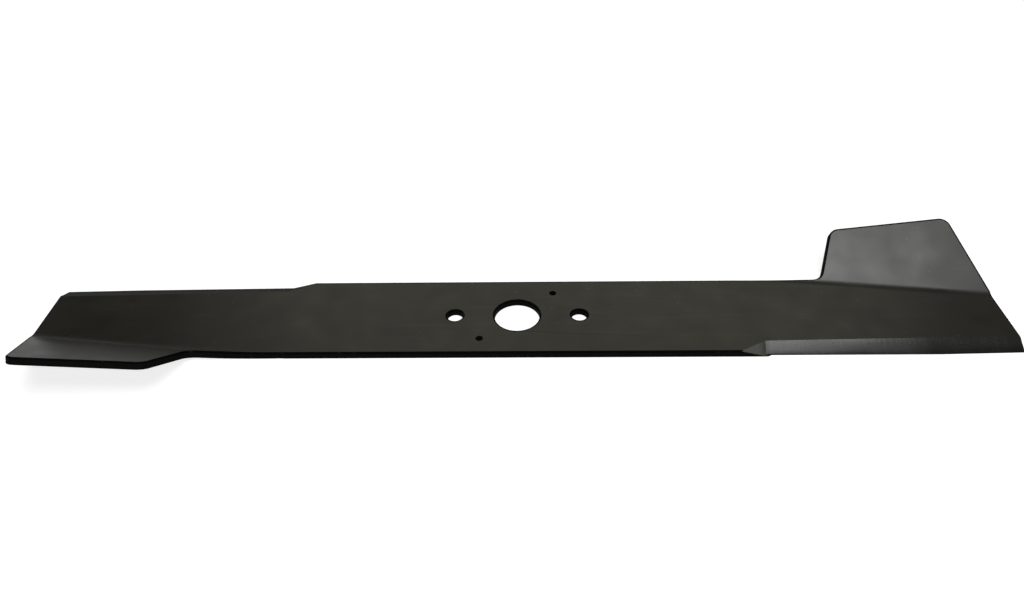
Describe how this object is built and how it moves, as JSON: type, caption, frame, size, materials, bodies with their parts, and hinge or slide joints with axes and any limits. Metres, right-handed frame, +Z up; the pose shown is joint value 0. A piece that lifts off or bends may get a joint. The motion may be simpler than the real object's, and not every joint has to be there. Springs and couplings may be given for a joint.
{
  "type": "rotary mower blade",
  "caption": "Flat steel mower blade bar with a round centre bore, flanking bolt holes, ground cutting edges and a folded-up wing at each end.",
  "frame": {"origin": "centre of the centre bore at the flat underside of the bar", "axes": "+X along the bar towards the end whose wing is on +Y, +Z up along the bore, from the underside to the side that the wings rise from"},
  "size_m": [0.5402, 0.1178, 0.0282],
  "materials": {
    "blade": "satin black paint on steel"
  },
  "bodies": {
    "root": {"blade": "blade"}
  },
  "joints": []
}
